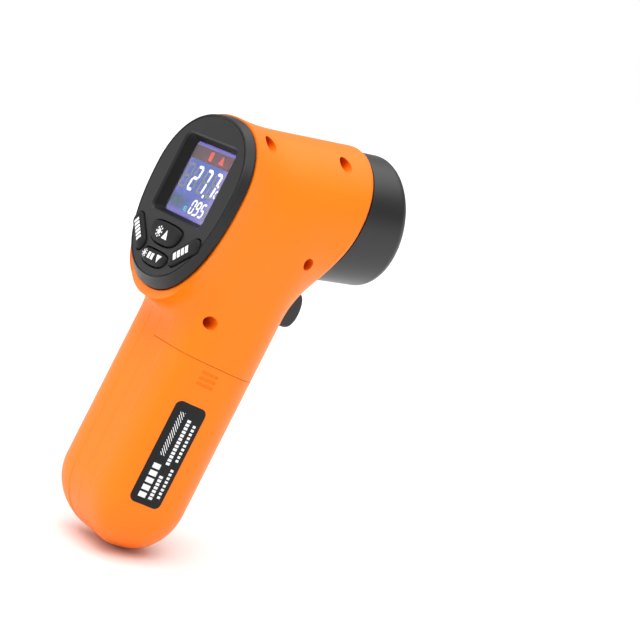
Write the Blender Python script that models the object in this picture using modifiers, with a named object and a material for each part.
"""Pistol-grip infrared thermometer: housing halves, battery cover, display head, optics, trigger, power.

All lengths are metres. The barrel frame has its origin at the centre of the nozzle's front face, +X the
way the instrument aims, +Y its left side and +Z up. The grip frame shares that origin and leans with the
grip: F runs forwards across the grip, Y to the left, and A up along the grip. The display panel, the
battery cover's seam and the body's front edge all stand square to those leaning axes.
"""

import math

import bmesh
import bpy
import numpy as np
from mathutils import Matrix, Vector

# Where the nozzle's front centre stands above the middle of the whole object's footprint
NOZZLE_REACH = 0.04225
BARREL_HEIGHT = 0.11742
SLANT = math.radians(15.5)

# Barrel and nozzle
BARREL_RADIUS = 0.0235
NOZZLE_RADIUS = 0.022
FRONT_PLANE_F = -0.0178
OPENING_RADIUS = 0.0204

# Collar that carries the display panel: an egg standing in the plane F = COLLAR_F
COLLAR_F = -0.065
EGG_LEVEL = -0.016
EGG_POWER = 2.25
COLLAR_EGG = (0.027, 0.0242, 0.0368)
PLATE_EGG = (0.0259, 0.0232, 0.0338)
FOOT_EGG = (0.0263, 0.0236, 0.0355)
SKIRT_EGG = (0.0230, 0.0200, 0.0292)
BOARD_EGG = (0.0200, 0.0160, 0.0300)

# Grip section: a flat strip down the back, full flanks behind, an ellipse in front
GRIP_AXIS_F = -0.0365
GRIP_BACK = 0.01925
GRIP_SHOULDER = 0.0194
GRIP_FRONT = 0.0165
GRIP_HALF_WIDTH = 0.0216
GRIP_BACK_POWER = 4.8
GRIP_END_A = -0.112
BATTERY_SEAM_A = -0.0648

WALL = 0.002
GAP = 0.0003
HEAD_ROWS = 12
# Where a section's points stand, from its front (0) over the flank to the strip's edge and its back
RING_TURNS = [math.radians(t) for t in (0, 15, 30, 45, 60, 75, 90, 108, 124, 137, 148, 159, 173, 180)]
NECK_ROWS = ((-0.0300, -0.0565), (-0.0370, -0.0590), (-0.0480, -0.0620))
CAP_DIPS = (16, 32, 48, 64, 79)

# Display panel, in the panel frame: X to the user's right, Y up the panel, Z out of it
PLATE_BOTTOM = GAP
PLATE_TOP = 0.0035
RECESS_HALF = (0.0163, 0.01365)
SIGHT_HALF = (0.0125, 0.0121)
SIGHT_DEPTH = 0.0025
SIGHT_LEVEL = 0.0007
KEY_TRAVEL = 0.0008
KEY_PROUD = 0.0006

# Trigger
TRIGGER_PIVOT = (-0.0245, -0.0300)
TRIGGER_HALF_WIDTH = 0.006
PIN_RADIUS = 0.001
SWITCH_F = -0.0299

# Two AAA cells
CELL_RADIUS = 0.0051
CELL_LENGTH = 0.0445
CELL_Y = -0.0056
CELL_FRONT_F = -0.0331
CELL_BACK_F = -0.0449

# Housing screws: middle of each screw in the barrel frame (X, Z)
SCREW_PLACES = {
    "top_front": (-0.0255, 0.0183),
    "top_rear": (-0.0545, 0.0200),
    "neck_front": (-0.0355, -0.0140),
    "neck_rear": (-0.0640, -0.0372),
}


# ---------------------------------------------------------------- scene

def clear_scene():
    for obj in list(bpy.data.objects):
        bpy.data.objects.remove(obj, do_unlink=True)


def new_collection(name, hidden=False):
    collection = bpy.data.collections.new(name)
    bpy.context.scene.collection.children.link(collection)
    collection.hide_render = hidden
    return collection


def new_datum(name, location, rotation, parent=None):
    datum = bpy.data.objects.new(name, None)
    datum.location = location
    datum.rotation_euler = rotation
    datum.parent = parent
    datum.empty_display_size = 0.01
    PARTS.objects.link(datum)
    return datum


def new_material(name, colour, roughness, metallic=0.0, alpha=1.0):
    material = bpy.data.materials.new(name)
    material.use_nodes = True
    shader = material.node_tree.nodes["Principled BSDF"]
    shader.inputs["Base Color"].default_value = (*colour, 1.0)
    shader.inputs["Roughness"].default_value = roughness
    shader.inputs["Metallic"].default_value = metallic
    shader.inputs["Alpha"].default_value = alpha
    material.diffuse_color = (*colour, alpha)
    return material


def place(obj, datum, location=(0, 0, 0), rotation=(0, 0, 0)):
    obj.parent = datum
    obj.location = location
    obj.rotation_euler = rotation


def smooth(mesh, angle=35):
    mesh.shade_smooth()
    mesh.set_sharp_from_angle(angle=math.radians(angle))


def add_part(name, data, material, datum, location=(0, 0, 0), rotation=(0, 0, 0)):
    obj = bpy.data.objects.new(name, data)
    PARTS.objects.link(obj)
    place(obj, datum, location, rotation)
    data.materials.append(material)
    return obj


def add_helper(name, data, datum, location=(0, 0, 0), rotation=(0, 0, 0)):
    obj = bpy.data.objects.new(name, data)
    HELPERS.objects.link(obj)
    place(obj, datum, location, rotation)
    obj.hide_render = True
    obj.display_type = "WIRE"
    return obj


def combine(obj, operation, helper):
    modifier = obj.modifiers.new(operation.lower(), "BOOLEAN")
    modifier.operation = operation
    modifier.solver = "EXACT"
    modifier.object = helper


def cut(obj, *helpers):
    for helper in helpers:
        combine(obj, "DIFFERENCE", helper)


def join(obj, *helpers):
    for helper in helpers:
        combine(obj, "UNION", helper)


# ---------------------------------------------------------------- mesh makers

def mesh_from(bm, name):
    bmesh.ops.recalc_face_normals(bm, faces=bm.faces)
    mesh = bpy.data.meshes.new(name)
    bm.to_mesh(mesh)
    bm.free()
    return mesh


def box_mesh(size, middle=(0, 0, 0)):
    bm = bmesh.new()
    bmesh.ops.create_cube(bm, size=1.0)
    bmesh.ops.scale(bm, vec=Vector(size), verts=bm.verts)
    bmesh.ops.translate(bm, vec=Vector(middle), verts=bm.verts)
    return mesh_from(bm, "box")


def rod_mesh(radius, length, sides=20, far_radius=None):
    """A rod along Z, centred on the origin, or a cone when far_radius is given."""
    bm = bmesh.new()
    far = radius if far_radius is None else far_radius
    bmesh.ops.create_cone(bm, cap_ends=True, segments=sides, radius1=radius, radius2=far, depth=length)
    mesh = mesh_from(bm, "rod")
    smooth(mesh)
    return mesh


def turned_part(name, profile, material, datum, location, rotation, steps=32):
    """A closed (radius, height) profile turned about Z; its outer side runs from top to bottom."""
    bm = bmesh.new()
    points = [bm.verts.new((radius, 0.0, height)) for radius, height in profile]
    for start, end in zip(points, points[1:] + points[:1]):
        if start.co.x > 0 or end.co.x > 0:
            bm.edges.new((start, end))
    mesh = bpy.data.meshes.new(name)
    bm.to_mesh(mesh)
    bm.free()
    obj = add_part(name, mesh, material, datum, location, rotation)
    screw = obj.modifiers.new("turn", "SCREW")
    screw.steps = steps
    screw.render_steps = steps
    screw.use_merge_vertices = True
    screw.merge_threshold = 0.00001
    return obj


def outline_mesh(outlines, thickness, middle=0.0, bevel=0.0):
    """Closed outlines in the XY plane, inner ones as holes, given a thickness along Z."""
    curve = bpy.data.curves.new("outline", "CURVE")
    curve.dimensions = "2D"
    curve.fill_mode = "BOTH"
    curve.extrude = thickness / 2 - bevel
    curve.bevel_depth = bevel
    curve.bevel_resolution = 1
    curve.offset = -bevel
    for outline in outlines:
        spline = curve.splines.new("POLY")
        spline.points.add(len(outline) - 1)
        spline.use_cyclic_u = True
        for point, (x, y) in zip(spline.points, outline):
            point.co = (x, y, 0.0, 1.0)
    obj = bpy.data.objects.new("outline", curve)
    HELPERS.objects.link(obj)
    graph = bpy.context.evaluated_depsgraph_get()
    mesh = bpy.data.meshes.new_from_object(obj.evaluated_get(graph))
    bpy.data.objects.remove(obj, do_unlink=True)
    bm = bmesh.new()
    bm.from_mesh(mesh)
    bmesh.ops.remove_doubles(bm, verts=bm.verts, dist=0.00001)
    bmesh.ops.translate(bm, vec=Vector((0.0, 0.0, middle)), verts=bm.verts)
    return mesh_from(bm, "outline")


def wire_part(name, points, radius, material, datum, location=(0, 0, 0), rotation=(0, 0, 0)):
    curve = bpy.data.curves.new(name, "CURVE")
    curve.dimensions = "3D"
    curve.bevel_depth = radius
    curve.bevel_resolution = 1
    curve.use_fill_caps = True
    spline = curve.splines.new("POLY")
    spline.points.add(len(points) - 1)
    for point, place_ in zip(spline.points, points):
        point.co = (*place_, 1.0)
    return add_part(name, curve, material, datum, location, rotation)


def rounded_route(points, per_leg=5):
    """A Catmull-Rom curve through the given points."""
    knots = [np.array(point) for point in [points[0], *points, points[-1]]]
    route = []
    for before, start, end, after in zip(knots, knots[1:], knots[2:], knots[3:]):
        for t in np.linspace(0.0, 1.0, per_leg, endpoint=False):
            slope_in = (end - before) / 2
            slope_out = (after - start) / 2
            route.append(
                (2 * t**3 - 3 * t**2 + 1) * start
                + (t**3 - 2 * t**2 + t) * slope_in
                + (3 * t**2 - 2 * t**3) * end
                + (t**3 - t**2) * slope_out
            )
    route.append(knots[-1])
    return route


# ---------------------------------------------------------------- outlines

def superellipse(angle, half_x, half_y, power):
    c, s = math.cos(angle), math.sin(angle)
    x = half_x * math.copysign(abs(s) ** (2 / power), s)
    y = half_y * math.copysign(abs(c) ** (2 / power), c)
    return x, y


def egg_point(angle, egg):
    """A point of an egg outline, with angle 0 at its top."""
    half_width, above, below = egg
    return superellipse(angle, half_width, above if math.cos(angle) > 0 else below, EGG_POWER)


def egg_outline(egg, count=44):
    return [egg_point(2 * math.pi * i / count, egg) for i in range(count)]


def held_inside(point, egg):
    """The point itself, or the place on the egg nearest the way to it when it lies outside."""
    half_width, above, below = egg
    x, y = point
    reach = above if y > 0 else below
    norm = (abs(x / half_width) ** EGG_POWER + abs(y / reach) ** EGG_POWER) ** (1 / EGG_POWER)
    return (x / max(norm, 1.0), y / max(norm, 1.0))


def pill_outline(half_length, radius, angle, middle, grow=0.0, per_end=9):
    points = []
    for side in (1, -1):
        for i in range(per_end):
            turn = math.pi * (i / (per_end - 1) - 0.5) + (0 if side > 0 else math.pi)
            x = side * half_length + (radius + grow) * math.cos(turn)
            y = (radius + grow) * math.sin(turn)
            points.append(
                (
                    middle[0] + x * math.cos(angle) - y * math.sin(angle),
                    middle[1] + x * math.sin(angle) + y * math.cos(angle),
                )
            )
    return points


def bowl_outline(half_width, height, top, squareness, grow=0.0, count=28):
    """An upper key's outline: shallow above, deep and round below, hung from the level of its top."""
    shallow = height * 0.26
    deep = height - shallow
    points = []
    for i in range(count):
        angle = 2 * math.pi * i / count
        reach = (shallow if math.cos(angle) > 0 else deep) + grow
        x, y = superellipse(angle, half_width + grow, reach, squareness)
        points.append((x, top - shallow + y))
    return points


def rounded_box_outline(half_x, half_y, radius, middle=(0, 0), per_corner=4):
    points = []
    corners = ((1, 1, 0.0), (-1, 1, 0.5), (-1, -1, 1.0), (1, -1, 1.5))
    for side_x, side_y, start in corners:
        for i in range(per_corner):
            angle = math.pi * (start + 0.5 * i / (per_corner - 1))
            x = side_x * (half_x - radius) + radius * math.cos(angle)
            y = side_y * (half_y - radius) + radius * math.sin(angle)
            points.append((middle[0] + x, middle[1] + y))
    return points


# ---------------------------------------------------------------- body surface
# The body is the zero level of body_gap, a distance-like function: the barrel with its flared collar and
# the grip run together with a fillet, and the body's front plane rounds off both.

SIN, COS = math.sin(SLANT), math.cos(SLANT)
FILLET_BACK, FILLET_FRONT = 0.019, 0.014
FLARE_START = 0.72
CAP_POWER = 2.1


def to_barrel(f, a):
    return f * COS + a * SIN, a * COS - f * SIN


def to_grip(x, z):
    return x * COS - z * SIN, x * SIN + z * COS


def ease(t):
    t = np.clip(t, 0.0, 1.0)
    return t * t * (3 - 2 * t)


def soft_min(a, b, blend):
    overlap = np.maximum(blend - np.abs(a - b), 0.0) / blend
    return np.minimum(a, b) - overlap**2 * blend / 4


def soft_max(a, b, blend):
    return -soft_min(-a, -b, blend)


def barrel_gap(f, y, a):
    """A round barrel that flares into the collar's egg over the last part of its length."""
    x, z = to_barrel(f, a)
    collar_x = (COLLAR_F + z * SIN) / COS
    flare = np.clip((x / collar_x - FLARE_START) / (1 - FLARE_START), 0.0, 1.1)
    side = flare**2
    half_width, above, below = COLLAR_EGG
    egg_middle = EGG_LEVEL * COS - COLLAR_F * SIN
    width = BARREL_RADIUS + (half_width - BARREL_RADIUS) * side
    rise = BARREL_RADIUS + (above * COS + egg_middle - BARREL_RADIUS) * side
    drop = BARREL_RADIUS + (below * COS - egg_middle - BARREL_RADIUS) * flare
    middle = egg_middle * side
    reach = np.where(z > middle, rise - middle, drop + middle)
    power = 2 + (EGG_POWER - 2) * side
    norm = (np.abs(y / width) ** power + np.abs((z - middle) / reach) ** power) ** (1 / power)
    radius = np.hypot(y, z - middle)
    return radius * (1 - 1 / np.maximum(norm, 1e-6))


def grip_gap(f, y, a):
    """The grip: a superelliptic column with a round end and a flat strip down its back."""
    across = f - GRIP_AXIS_F
    behind = across < 0
    depth = np.where(behind, GRIP_SHOULDER, GRIP_FRONT)
    power = np.where(behind, GRIP_BACK_POWER, 2.0)
    norm = (np.abs(across / depth) ** power + np.abs(y / GRIP_HALF_WIDTH) ** power) ** (1 / power)
    below = np.maximum(GRIP_END_A - a, 0.0)
    above = np.maximum(a + 0.036, 0.0)
    capped = (
        norm**CAP_POWER + (below / GRIP_SHOULDER) ** CAP_POWER + (above / 0.022) ** CAP_POWER
    ) ** (1 / CAP_POWER)
    radius = np.sqrt(across**2 + y**2 + below**2 + above**2)
    column = radius * (1 - 1 / np.maximum(capped, 1e-6))
    strip = np.hypot(across, below) - GRIP_BACK - 0.0008 * ease(across / 0.01)
    return soft_max(column, strip, 0.0004)


def body_gap(points):
    f, y, a = points[..., 0], points[..., 1], points[..., 2]
    fillet = FILLET_BACK + (FILLET_FRONT - FILLET_BACK) * ease((f + 0.045) / 0.025)
    joined = soft_min(barrel_gap(f, y, a), grip_gap(f, y, a), fillet)
    return soft_max(joined, f - FRONT_PLANE_F, 0.003)


def cast(middles, guides, level):
    """Where rays from inside the body, through their guide points, meet the surface body_gap = level."""
    middles = np.array(middles, float)
    rays = np.array(guides, float) - middles
    near = np.full(rays.shape[:-1], 0.05)
    far = np.full(rays.shape[:-1], 3.0)
    for _ in range(44):
        reach = (near + far) / 2
        inside = body_gap(middles + rays * reach[..., None]) < level
        near = np.where(inside, reach, near)
        far = np.where(inside, far, reach)
    return middles + rays * near[..., None]


def front_edge(angle, level):
    """The point of the front opening at this angle from its top, on the surface at this level."""
    radius = OPENING_RADIUS + WALL + level
    y = -radius * math.sin(angle)
    z = radius * math.cos(angle)
    inner = (*to_grip(-0.045, z), y)
    outer = (*to_grip(0.0, z), y)
    return cast([inner[0], y, inner[1]], [outer[0], y, outer[1]], level)


def collar_edge(angle, level):
    """The point of the collar's rim at this angle from its top."""
    x, y = egg_point(angle, COLLAR_EGG)
    return cast((COLLAR_F, 0.0, EGG_LEVEL), (COLLAR_F, -x, EGG_LEVEL + y), level)


def ring_guide(turn, front, back):
    """A guide point on the section whose front and back are these (F, A) points; turn is 0 at the front."""
    ahead = math.cos(turn)
    power = 2.0 if ahead > 0 else GRIP_BACK_POWER
    along = math.copysign(abs(ahead) ** (2 / power), ahead)
    t = (1 - along) / 2
    y = -GRIP_HALF_WIDTH * abs(math.sin(turn)) ** (2 / power)
    return np.array([front[0] + (back[0] - front[0]) * t, y, front[1] + (back[1] - front[1]) * t])


def head_row(angle, level):
    """Points from the front opening round the flank to the collar, on the instrument's right."""
    start, end = front_edge(angle, level), collar_edge(angle, level)
    middle = (start + end) / 2
    middle[1] = 0.0
    low = float(ease((angle - math.radians(60)) / math.radians(60)))
    first, last = (math.atan2(-point[1], middle[0] - point[0]) for point in (start, end))
    turns = np.linspace(math.pi - first, math.pi - last, len(RING_TURNS))
    turns += low * (angle / math.pi) ** 4 * (np.array(RING_TURNS) - np.linspace(0, math.pi, len(turns)))
    steps = np.linspace(0.0, 1.0, len(turns))
    steps[1] *= 0.45
    steps[-2] += 0.3 * (1 - steps[-2])
    row = [start]
    for turn, step in zip(turns[1:-1], steps[1:-1]):
        straight = start + (end - start) * step
        x, z = to_barrel(straight[0], straight[2])
        axis_f, axis_a = to_grip(x, 0.0)
        along = np.array([start[0] - end[0], 0.0, start[2] - end[2]]) / 2
        round_ = middle + along * math.cos(turn) + np.array([0.0, -GRIP_HALF_WIDTH * math.sin(turn), 0.0])
        origin = np.array([axis_f, 0.0, axis_a]) * (1 - low) + middle * low
        guide = straight * (1 - low) + round_ * low
        row.append(cast(origin, guide, level))
    return np.array([*row, end])


def ring_row(front, back, level):
    """Half a ring of the neck or grip: (F, A) of its front and back on the middle plane."""
    guides = np.array([ring_guide(turn, front, back) for turn in RING_TURNS])
    middle = np.array([(front[0] + back[0]) / 2, 0.0, (front[1] + back[1]) / 2])
    return cast(np.broadcast_to(middle, guides.shape), guides, level)


def cap_row(dip, level):
    """Half a ring of the grip's round end, dip radians below its middle."""
    front = (GRIP_AXIS_F + GRIP_FRONT, 0.0)
    back = (GRIP_AXIS_F - GRIP_SHOULDER, 0.0)
    guides = np.array([ring_guide(turn, front, back) for turn in RING_TURNS])
    guides[:, 0] = GRIP_AXIS_F + (guides[:, 0] - GRIP_AXIS_F) * math.cos(dip)
    guides[:, 1] *= math.cos(dip)
    guides[:, 2] = GRIP_END_A - GRIP_SHOULDER * math.sin(dip)
    middle = np.array([GRIP_AXIS_F, 0.0, GRIP_END_A])
    return cast(np.broadcast_to(middle, guides.shape), guides, level)


def shell_rows(level, part):
    """The rows of a half shell's outer (level 0) or inner surface, from its top to its end."""
    rows = []
    front_f, back_f = GRIP_AXIS_F + GRIP_FRONT, GRIP_AXIS_F - GRIP_SHOULDER
    seam = BATTERY_SEAM_A
    if part != "lower":
        rows += [head_row(math.pi * k / HEAD_ROWS, level) for k in range(HEAD_ROWS + 1)]
        for front_a, back_a in NECK_ROWS:
            rows.append(ring_row((front_f, front_a), (back_f, back_a), level))
    if part != "whole":
        seam += GAP / 2 if part == "upper" else -GAP / 2
    straight = [seam] if part == "upper" else [seam, -0.080, -0.096, GRIP_END_A]
    rows += [ring_row((front_f, a), (back_f, a), level) for a in straight]
    if part != "upper":
        rows += [cap_row(math.radians(dip), level) for dip in CAP_DIPS]
        middle = np.array([GRIP_AXIS_F, 0.0, GRIP_END_A])
        pole = cast(middle, middle - (0.0, 0.0, GRIP_BACK), level)
        rows.append(np.repeat(pole[None], len(RING_TURNS), axis=0))
    rows = np.array(rows)
    rows[..., 1] = np.minimum(rows[..., 1], 0.0) - GAP / 2
    return rows


def half_shell_mesh(part, side):
    """A closed half shell with an even wall; side is -1 for the instrument's right, 1 for its left."""
    outer = shell_rows(0.0, part)
    inner = shell_rows(-WALL, part)
    bm = bmesh.new()
    skins = []
    for rows in (outer, inner):
        skins.append([[bm.verts.new((f, -side * y, a)) for f, y, a in row] for row in rows])
    count, width = len(outer), len(outer[0])
    for skin in skins:
        for k in range(count - 1):
            for j in range(width - 1):
                bm.faces.new((skin[k][j], skin[k][j + 1], skin[k + 1][j + 1], skin[k + 1][j]))
    rim = [(0, j) for j in range(width - 1)]
    rim += [(k, width - 1) for k in range(count - 1)]
    rim += [(count - 1, j) for j in range(width - 1, 0, -1)]
    rim += [(k, 0) for k in range(count - 1, 0, -1)]
    for (k, j), (l, m) in zip(rim, rim[1:] + rim[:1]):
        bm.faces.new((skins[0][k][j], skins[0][l][m], skins[1][l][m], skins[1][k][j]))
    bmesh.ops.remove_doubles(bm, verts=bm.verts, dist=0.00001)
    bmesh.ops.dissolve_degenerate(bm, edges=bm.edges, dist=0.00001)
    bmesh.ops.triangulate(bm, faces=bm.faces)
    mesh = mesh_from(bm, "shell")
    smooth(mesh, 40)
    return mesh


# ---------------------------------------------------------------- housing

def y_rod(name, radius, low, high, x, z, datum, sides=16):
    """A helper rod across the instrument, from Y = low to Y = high."""
    return add_helper(
        name, rod_mesh(radius, high - low, sides), datum, (x, (low + high) / 2, z), (math.pi / 2, 0, 0)
    )


def boss_reach(x, z):
    """How far to the side the middle of the wall stands at this place of the barrel frame."""
    f, a = to_grip(x, z)
    inside, outside = 0.0, 0.03
    for _ in range(30):
        y = (inside + outside) / 2
        if body_gap(np.array([f, y, a])) < -WALL / 2:
            inside = y
        else:
            outside = y
    return inside


def add_screw_bosses(shell, side):
    for name, (x, z) in SCREW_PLACES.items():
        reach = boss_reach(x, z)
        inner_end = side * 0.0006
        wall = side * reach
        low, high = sorted((inner_end, wall))
        join(shell, y_rod(f"{shell.name}_boss_{name}", 0.0030, low, high, x, z, BARREL))
        if side < 0:
            cut(shell, y_rod(f"recess_{name}", 0.0021, -0.04, -0.0045, x, z, BARREL))
            cut(shell, y_rod(f"clearance_{name}", 0.0013, -0.006, 0.004, x, z, BARREL, 12))
        else:
            cut(shell, y_rod(f"pilot_{name}", 0.0013, -0.004, 0.0085, x, z, BARREL, 12))


def add_trigger_seat(shell, side):
    """The trigger's slot through the front wall, and a blind boss for its pin."""
    f, a = TRIGGER_PIVOT
    x, z = to_barrel(f, a)
    slot = add_helper(
        f"{shell.name}_trigger_slot",
        box_mesh((0.014, 0.0128, 0.0158), (-0.019, 0.0, -0.0377)),
        GRIP,
    )
    cut(shell, slot)
    low, high = sorted((side * 0.0069, side * boss_reach(x, z)))
    join(shell, y_rod(f"{shell.name}_pin_boss", 0.0024, low, high, x, z, BARREL))
    low, high = sorted((side * 0.004, side * 0.0105))
    cut(shell, y_rod(f"{shell.name}_pin_seat", PIN_RADIUS + GAP, low, high, x, z, BARREL, 12))


def add_housing():
    left = add_part("left_shell", half_shell_mesh("whole", 1), ORANGE, GRIP)
    add_screw_bosses(left, 1)
    add_trigger_seat(left, 1)
    right = add_part("right_shell", half_shell_mesh("upper", -1), ORANGE, GRIP)
    add_screw_bosses(right, -1)
    add_trigger_seat(right, -1)
    add_part("battery_cover", half_shell_mesh("lower", -1), ORANGE, GRIP)


def add_label():
    """A thin plate that follows the cover's flank."""
    rows, columns = 6, 8
    low_f, high_f = -0.0500, -0.0385
    low_a, high_a = -0.1128, -0.0792
    skins = []
    bm = bmesh.new()
    for level in (GAP, 0.0006):
        skin = []
        for a in np.linspace(low_a, high_a, rows):
            line = [(f, -GRIP_HALF_WIDTH, a) for f in np.linspace(low_f, high_f, columns)]
            line = cast([(f, 0.0, a) for f, _, a in line], line, level)
            skin.append([bm.verts.new(point) for point in line])
        skins.append(skin)
    for skin in skins:
        for k in range(rows - 1):
            for j in range(columns - 1):
                bm.faces.new((skin[k][j], skin[k][j + 1], skin[k + 1][j + 1], skin[k + 1][j]))
    rim = [(0, j) for j in range(columns - 1)]
    rim += [(k, columns - 1) for k in range(rows - 1)]
    rim += [(rows - 1, j) for j in range(columns - 1, 0, -1)]
    rim += [(k, 0) for k in range(rows - 1, 0, -1)]
    for (k, j), (l, m) in zip(rim, rim[1:] + rim[:1]):
        bm.faces.new((skins[0][k][j], skins[0][l][m], skins[1][l][m], skins[1][k][j]))
    add_part("label", mesh_from(bm, "label"), BLACK_GLOSS, GRIP)


def add_housing_screws():
    for name, (x, z) in SCREW_PLACES.items():
        profile = [(0, 0.0014), (0.0017, 0.0014), (0.0017, 0), (0.001, 0), (0.001, -0.0125), (0, -0.0130)]
        turned_part(
            f"housing_screw_{name}", profile, STEEL, BARREL, (x, -0.0045 - GAP, z), (math.pi / 2, 0, 0), 12
        )


# ---------------------------------------------------------------- nozzle and optics

ALONG_X = (0, math.pi / 2, 0)


def add_nozzle():
    """Front tube with a rounded lip; its back is cut square to the grip, flush with the body's front."""
    profile = [(0.016, 0.0), (0.0182, 0.0)]
    lip = 0.0038
    for i in range(1, 5):
        turn = math.pi / 2 * i / 4
        profile.append((NOZZLE_RADIUS - lip + lip * math.sin(turn), -lip + lip * math.cos(turn)))
    profile += [(NOZZLE_RADIUS, -0.030), (0.0178, -0.030), (0.0178, -0.0045), (0.016, -0.0045)]
    nozzle = turned_part("nozzle", profile, BLACK, BARREL, (0, 0, 0), ALONG_X, 44)
    back_cut = add_helper(
        "nozzle_back_cut", box_mesh((0.03, 0.06, 0.08), (FRONT_PLANE_F + GAP - 0.015, 0, 0)), GRIP
    )
    spigot_profile_radius = OPENING_RADIUS - GAP
    cut(nozzle, back_cut)
    spigot = add_helper("nozzle_spigot", rod_mesh(spigot_profile_radius, 0.03, 40), BARREL, (-0.019, 0, 0), ALONG_X)
    keep = add_helper(
        "spigot_keep", box_mesh((0.0055, 0.06, 0.08), (FRONT_PLANE_F - 0.00175, 0, 0)), GRIP
    )
    bore = add_helper("spigot_bore", rod_mesh(0.0178, 0.04, 40), BARREL, (-0.019, 0, 0), ALONG_X)
    combine(spigot, "INTERSECT", keep)
    cut(spigot, bore)
    join(nozzle, spigot)


def add_optics():
    aperture = add_part(
        "aperture_plate", rod_mesh(0.0175, 0.002, 40), BLACK, BARREL, (-0.0058, 0, 0), ALONG_X
    )
    lens_hole = add_helper("lens_hole", rod_mesh(0.0068, 0.006, 32), BARREL, (-0.0058, 0, 0), ALONG_X)
    laser_hole = add_helper("laser_hole", rod_mesh(0.0020, 0.006, 16), BARREL, (-0.0058, 0, 0.0118), ALONG_X)
    cut(aperture, lens_hole, laser_hole)
    lens = [(0, 0.0011), (0.003, 0.0009), (0.0055, 0.0004), (0.0072, 0.0), (0.0072, -0.0010), (0, -0.0010)]
    turned_part("infrared_lens", lens, LENS, BARREL, (-0.0082, 0, 0), ALONG_X, 28)
    tube = [
        (0.0085, -0.0072), (0.0085, -0.0200), (0.0062, -0.0235), (0.0062, -0.0262),
        (0.0046, -0.0262), (0.0046, -0.0230), (0.0066, -0.0195), (0.0066, -0.0096),
        (0.0076, -0.0096), (0.0076, -0.0072),
    ]
    turned_part("optical_tube", tube, BLACK, BARREL, (0, 0, 0), ALONG_X, 28)
    ring = [(0.0073, -0.0071), (0.0073, -0.0075), (0.0060, -0.0075), (0.0060, -0.0071)]
    turned_part("lens_retainer", ring, BLACK, BARREL, (0, 0, 0), ALONG_X, 28)
    can = [(0, -0.0233), (0.0041, -0.0233), (0.0041, -0.0264), (0.0044, -0.0264), (0.0044, -0.0268), (0, -0.0268)]
    turned_part("infrared_sensor", can, STEEL, BARREL, (0, 0, 0), ALONG_X, 24)
    add_part(
        "sensor_board", rod_mesh(0.0090, 0.0012, 28), BOARD, BARREL, (-0.0268 - GAP - 0.0006, 0, 0), ALONG_X
    )


def add_laser():
    body = [(0.0030, -0.0072), (0.0030, -0.0180), (0.0024, -0.0180), (0.0024, -0.0195), (0, -0.0195),
            (0, -0.0086), (0.0018, -0.0086), (0.0018, -0.0072)]
    turned_part("laser_module", body, BRASS, BARREL, (0, 0, 0.0118), ALONG_X, 20)
    lens = [(0, 0.0004), (0.0009, 0.0002), (0.0015, 0.0), (0.0015, -0.0004), (0, -0.0004)]
    turned_part("laser_lens", lens, LENS, BARREL, (-0.0078, 0, 0.0118), ALONG_X, 16)


# ---------------------------------------------------------------- display head

UP_KEY = dict(half_width=0.0094, height=0.0071, top=-0.0152, squareness=2.6)
DOWN_KEY = dict(half_width=0.0080, height=0.0049, top=-0.0245, squareness=2.6)
SIDE_KEY = dict(half_length=0.0049, radius=0.0025, angle=math.radians(38), middle=(0.0151, -0.0212))


def key_outlines(grow):
    """Each key's outline in the panel frame, grown by this much."""
    side = dict(SIDE_KEY)
    mirrored = dict(SIDE_KEY, angle=-side["angle"], middle=(-side["middle"][0], side["middle"][1]))
    return {
        "key_up": bowl_outline(grow=grow, **UP_KEY),
        "key_down": bowl_outline(grow=grow, **DOWN_KEY),
        "key_right": pill_outline(grow=grow, **side),
        "key_left": pill_outline(grow=grow, **mirrored),
    }


def frustum_mesh(near, far, near_z, far_z):
    """A block whose far face has its own half sizes, used to cut the sloping walls of the recess."""
    bm = bmesh.new()
    bmesh.ops.create_cube(bm, size=2.0)
    for vertex in bm.verts:
        half = near if vertex.co.z > 0 else far
        z = near_z if vertex.co.z > 0 else far_z
        vertex.co = (vertex.co.x * half[0], vertex.co.y * half[1] + SIGHT_LEVEL, z)
    return mesh_from(bm, "frustum")


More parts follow.
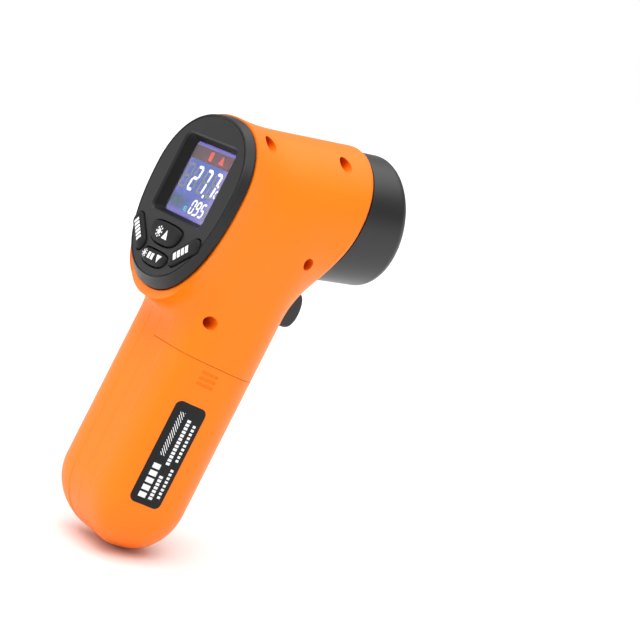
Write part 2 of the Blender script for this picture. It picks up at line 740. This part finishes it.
def add_bezel():
    thickness = PLATE_TOP - PLATE_BOTTOM
    holes = list(key_outlines(GAP).values())
    plate = outline_mesh([egg_outline(PLATE_EGG), *holes], thickness, (PLATE_TOP + PLATE_BOTTOM) / 2)
    bezel = add_part("display_bezel", plate, DARK_GREY, PANEL)
    skirt_inner = tuple(half - 0.0015 for half in SKIRT_EGG)
    ring = outline_mesh([egg_outline(SKIRT_EGG), egg_outline(skirt_inner)], 0.0045, -0.00145)
    skirt = add_helper("bezel_skirt", ring, PANEL)
    cut(skirt, add_helper("skirt_keep_off_keys", box_mesh((0.06, 0.04, 0.02), (0, -0.0325, 0)), PANEL))
    frame = box_mesh((0.0292, 0.0284, 0.0048), (0, SIGHT_LEVEL, -0.0017))
    foot_inner = tuple(half - 0.0006 for half in PLATE_EGG)
    foot = outline_mesh([egg_outline(FOOT_EGG), egg_outline(foot_inner)], 0.0010, PLATE_BOTTOM + 0.00055)
    join(bezel, add_helper("bezel_foot", foot, PANEL), skirt, add_helper("sight_frame", frame, PANEL))
    slope = (RECESS_HALF[0] - SIGHT_HALF[0]) / SIGHT_DEPTH
    slope_y = (RECESS_HALF[1] - SIGHT_HALF[1]) / SIGHT_DEPTH
    over = 0.0005
    near = (RECESS_HALF[0] + slope * over, RECESS_HALF[1] + slope_y * over)
    recess = frustum_mesh(near, SIGHT_HALF, PLATE_TOP + over, PLATE_TOP - SIGHT_DEPTH)
    sight = box_mesh((SIGHT_HALF[0] * 2, SIGHT_HALF[1] * 2, 0.003), (0, SIGHT_LEVEL, 0.0001))
    seat = box_mesh((0.0268, 0.0260, 0.006), (0, SIGHT_LEVEL, -0.0024))
    cut(
        bezel,
        add_helper("recess_cut", recess, PANEL),
        add_helper("sight_cut", sight, PANEL),
        add_helper("window_seat_cut", seat, PANEL),
    )
    for side in (-1, 1):
        x, y = side * 0.0178, -0.004
        post = add_helper(f"board_post_{side}", rod_mesh(0.0020, 0.0065, 14), PANEL, (x, y, -0.00265))
        hole = add_helper(f"board_pilot_{side}", rod_mesh(0.0010, 0.006, 10), PANEL, (x, y, -0.0059))
        join(bezel, post)
        cut(bezel, hole)


def add_display():
    window = box_mesh((0.0262, 0.0254, 0.0010), (0, SIGHT_LEVEL, -0.0002))
    add_part("display_window", window, CLEAR, PANEL)
    glass = box_mesh((0.0262, 0.0254, 0.0014), (0, SIGHT_LEVEL, -0.0017))
    add_part("display_glass", glass, DISPLAY, PANEL)
    light = box_mesh((0.0262, 0.0254, 0.0030), (0, SIGHT_LEVEL, -0.0042))
    add_part("backlight", light, WHITE, PANEL)


def add_keys():
    caps = key_outlines(0.0)
    flanges = key_outlines(0.00045)
    limit = tuple(half - 0.0028 for half in COLLAR_EGG)
    top, bottom = PLATE_TOP + KEY_PROUD, -0.0008
    for name, outline in caps.items():
        cap = outline_mesh([outline], top - bottom, (top + bottom) / 2)
        key = add_part(name, cap, RUBBER, PANEL)
        flange = outline_mesh([[held_inside(point, limit) for point in flanges[name]]], 0.0008, -0.0004)
        join(key, add_helper(f"{name}_flange", flange, PANEL))


def add_keypad():
    """A soft mat with one dome under each key."""
    outline = bowl_outline(0.0155, 0.0137, -0.0150, 2.2)
    pad = add_part("keypad_mat", outline_mesh([outline], 0.0012, -0.0053), RUBBER, PANEL)
    for name, (x, y) in {
        "up": (0.0, -0.0190), "down": (0.0, -0.0265), "left": (-0.0125, -0.0225), "right": (0.0125, -0.0225),
    }.items():
        dome = rod_mesh(0.0019, 0.0032, 16, 0.0014)
        join(pad, add_helper(f"dome_{name}", dome, PANEL, (x, y, -0.0035)))


def add_main_board():
    board = outline_mesh([egg_outline(BOARD_EGG, 32)], 0.0016, -0.0070)
    main = add_part("main_board", board, BOARD, PANEL)
    for side in (-1, 1):
        x, y = side * 0.0178, -0.004
        cut(main, add_helper(f"board_hole_{side}", rod_mesh(0.0009, 0.004, 12), PANEL, (x, y, -0.0070)))
        profile = [(0, 0.0032), (0.0006, 0.0032), (0.0006, -0.0002), (0.0015, -0.0002), (0.0015, -0.0011), (0, -0.0011)]
        name = "board_screw_right" if side > 0 else "board_screw_left"
        turned_part(name, profile, STEEL, PANEL, (x, y, -0.0079), (0, 0, 0), 12)
    add_part("microcontroller", box_mesh((0.0100, 0.0100, 0.0014), (0, 0.0015, -0.0088)), BLACK, PANEL)
    add_part("buzzer", rod_mesh(0.0050, 0.0040, 24), BLACK, PANEL, (0.0085, -0.0180, -0.0101))
    add_part("lead_socket", box_mesh((0.0080, 0.0050, 0.0036), (-0.0070, -0.0190, -0.0099)), WHITE, PANEL)


# ---------------------------------------------------------------- trigger

def add_trigger():
    """A finger lever hung from its top, in a slot just under the nozzle."""
    pivot_f, pivot_a = TRIGGER_PIVOT
    outline = [
        (0.0022, 0.0015), (0.0012, 0.0028), (-0.0010, 0.0028), (-0.0028, 0.0008), (-0.0026, -0.0020),
        (0.0000, -0.0060), (0.0004, -0.0138), (0.0030, -0.0145), (0.0080, -0.0145), (0.0102, -0.0135),
        (0.0114, -0.0112), (0.0116, -0.0080), (0.0112, -0.0050), (0.0098, -0.0026), (0.0078, -0.0018),
        (0.0042, -0.0013),
    ]
    mesh = outline_mesh([outline], 2 * TRIGGER_HALF_WIDTH, 0.0, 0.0007)
    trigger = add_part(
        "trigger", mesh, BLACK, GRIP, (pivot_f, 0, pivot_a), (math.pi / 2, 0, 0)
    )
    eye = add_helper(
        "trigger_eye", rod_mesh(PIN_RADIUS + GAP, 0.02, 16), GRIP, (pivot_f, 0, pivot_a), (math.pi / 2, 0, 0)
    )
    notch = add_helper(
        "trigger_notch", box_mesh((0.0086, 0.0044, 0.0105), (pivot_f - 0.0010, 0, pivot_a + 0.0008)), GRIP
    )
    cut(trigger, eye, notch)


def add_trigger_pin():
    pivot_f, pivot_a = TRIGGER_PIVOT
    add_part(
        "trigger_pin", rod_mesh(PIN_RADIUS, 0.0190, 16), STEEL, GRIP, (pivot_f, 0, pivot_a), (math.pi / 2, 0, 0)
    )


def add_trigger_spring():
    """A torsion spring round the pin, in the trigger's notch, with a leg towards the housing's back."""
    turns, per_turn, radius = 2, 12, 0.0018
    points = []
    for i in range(turns * per_turn + 1):
        turn = 2 * math.pi * i / per_turn
        y = -0.0009 + 0.0018 * i / (turns * per_turn)
        points.append((radius * math.cos(turn), y, radius * math.sin(turn)))
    points.insert(0, (0.0018, -0.0009, -0.0030))
    points.append((0.0018, 0.0009, 0.0024))
    pivot_f, pivot_a = TRIGGER_PIVOT
    wire_part("trigger_spring", points, 0.00025, STEEL, GRIP, (pivot_f, 0, pivot_a))


def add_trigger_switch():
    body = add_part("trigger_switch", box_mesh((0.0040, 0.0060, 0.0060), (SWITCH_F, 0, -0.0400)), BLACK, GRIP)
    plunger = rod_mesh(0.0012, 0.0024, 14)
    join(body, add_helper("switch_plunger", plunger, GRIP, (SWITCH_F + 0.0025, 0, -0.0400), ALONG_X))
    board = box_mesh((0.0012, 0.0160, 0.0180), (SWITCH_F - 0.0020 - GAP - 0.0006, 0, -0.0410))
    add_part("switch_board", board, BOARD, GRIP)


# ---------------------------------------------------------------- power

TRAY_TOP_A, TRAY_END_A = -0.0670, -0.1197
TRAY_WALL = 0.0014


def add_battery_tray():
    """An open trough fixed to the left shell; the cells go in from the cover's side."""
    middle_f = (CELL_FRONT_F + CELL_BACK_F) / 2
    half_f = 0.0126
    middle_a = (TRAY_TOP_A + TRAY_END_A) / 2
    length = TRAY_TOP_A - TRAY_END_A
    tray = add_part(
        "battery_tray", box_mesh((2 * half_f, 0.0100, length), (middle_f, -0.0038, middle_a)), BLACK, GRIP
    )
    inside = box_mesh(
        (2 * (half_f - TRAY_WALL), 0.0120, length - 2 * TRAY_WALL), (middle_f, -0.0038 - 0.0024, middle_a)
    )
    cut(tray, add_helper("tray_inside", inside, GRIP))


def add_cell(name, f, up):
    """One AAA cell; up is 1 when its positive end points to the tray's top."""
    half = CELL_LENGTH / 2
    profile = [
        (0, half), (0.0019, half), (0.0019, half - 0.0010), (CELL_RADIUS - 0.0004, half - 0.0010),
        (CELL_RADIUS, half - 0.0014), (CELL_RADIUS, -half + 0.0004), (CELL_RADIUS - 0.0004, -half), (0, -half),
    ]
    middle_a = -0.0693 - half if up > 0 else -0.1177 + half
    rotation = (0, 0, 0) if up > 0 else (math.pi, 0, 0)
    turned_part(name, profile, CELL, GRIP, (f, CELL_Y, middle_a), rotation, 24)


def add_contacts():
    for name, f in (("contact_plate_front", CELL_FRONT_F), ("contact_plate_rear", CELL_BACK_F)):
        add_part(name, box_mesh((0.0080, 0.0080, 0.0003), (f, CELL_Y, -0.06885)), STEEL, GRIP)
    bridge_f = (CELL_FRONT_F + CELL_BACK_F) / 2
    add_part("contact_bridge", box_mesh((0.0200, 0.0080, 0.0003), (bridge_f, CELL_Y, -0.11815)), STEEL, GRIP)


def add_contact_spring(name, f, base_a, direction):
    """A conical coil that presses on a cell's negative end; direction is the way it narrows."""
    turns, per_turn, height = 3, 10, 0.0027
    points = []
    for i in range(turns * per_turn + 1):
        t = i / (turns * per_turn)
        turn = 2 * math.pi * i / per_turn
        radius = 0.0034 - 0.0016 * t
        points.append((radius * math.cos(turn), radius * math.sin(turn), direction * height * t))
    wire_part(name, points, 0.0003, STEEL, GRIP, (f, CELL_Y, base_a))


def add_leads():
    """Battery leads from the tray's top to the main board, and the optics' lead."""
    for name, y, material, f in (
        ("battery_lead_positive", 0.0060, RED, CELL_FRONT_F),
        ("battery_lead_negative", 0.0095, BLACK, CELL_BACK_F),
    ):
        route = [(f, y, -0.0670), (f, y, -0.0600), (-0.0450, y, -0.0520), (-0.0510, y, -0.0420), (-0.0520, y, -0.0372)]
        wire_part(name, rounded_route(route), 0.0006, material, GRIP)
    start_x = -0.0290
    for name, y, z, material in (("sensor_lead", 0.003, -0.004, WHITE), ("laser_lead", 0.006, 0.0118, RED)):
        begin_x = start_x if name == "sensor_lead" else -0.0202
        stops = [(begin_x, 0.0 if name == "laser_lead" else y, z), (begin_x - 0.003, y * 0.6, z - 0.0005)]
        route = [(*to_grip(x, z_)[:1], y_, to_grip(x, z_)[1]) for x, y_, z_ in stops]
        route += [(-0.0470, y, -0.0200), (-0.0510, y, -0.0290), (-0.0520, y, -0.0330)]
        if name == "laser_lead":
            route.insert(2, (-0.0300, 0.0090, 0.0020))
        wire_part(name, rounded_route(route), 0.0005, material, GRIP)


# ---------------------------------------------------------------- build

clear_scene()
PARTS = new_collection("infrared_thermometer")
HELPERS = new_collection("helpers", hidden=True)

ORANGE = new_material("orange_abs", (0.90, 0.21, 0.012), 0.42)
BLACK = new_material("black_plastic", (0.018, 0.018, 0.020), 0.5)
BLACK_GLOSS = new_material("black_print", (0.010, 0.010, 0.010), 0.3)
DARK_GREY = new_material("dark_grey_plastic", (0.035, 0.035, 0.037), 0.5)
RUBBER = new_material("key_rubber", (0.045, 0.045, 0.048), 0.65)
CLEAR = new_material("clear_acrylic", (0.9, 0.9, 0.92), 0.05, alpha=0.25)
DISPLAY = new_material("display_glass", (0.09, 0.07, 0.35), 0.15)
LENS = new_material("lens", (0.75, 0.78, 0.80), 0.1, alpha=0.5)
WHITE = new_material("white_plastic", (0.80, 0.80, 0.78), 0.5)
BOARD = new_material("circuit_board", (0.02, 0.16, 0.05), 0.4)
STEEL = new_material("steel", (0.60, 0.60, 0.62), 0.3, metallic=1.0)
BRASS = new_material("brass", (0.75, 0.52, 0.20), 0.3, metallic=1.0)
CELL = new_material("cell_sleeve", (0.10, 0.16, 0.40), 0.35, metallic=0.3)
RED = new_material("red_insulation", (0.60, 0.02, 0.02), 0.5)

BARREL = new_datum("barrel_datum", (NOZZLE_REACH, 0, BARREL_HEIGHT), (0, 0, 0))
GRIP = new_datum("grip_datum", (0, 0, 0), (0, SLANT, 0), BARREL)
PANEL_TURN = Matrix(((0, 0, -1), (-1, 0, 0), (0, 1, 0))).to_euler()
PANEL = new_datum("panel_datum", (COLLAR_F, 0, EGG_LEVEL), PANEL_TURN, GRIP)
bpy.context.view_layer.update()

add_housing()
add_label()
add_housing_screws()
add_nozzle()
add_optics()
add_laser()
add_bezel()
add_display()
add_keys()
add_keypad()
add_main_board()
add_trigger()
add_trigger_pin()
add_trigger_spring()
add_trigger_switch()
add_battery_tray()
add_cell("battery_front", CELL_FRONT_F, 1)
add_cell("battery_rear", CELL_BACK_F, -1)
add_contacts()
add_contact_spring("contact_spring_front", CELL_FRONT_F, -0.1174, 1)
add_contact_spring("contact_spring_rear", CELL_BACK_F, -0.0696, -1)
add_leads()
bpy.context.view_layer.update()
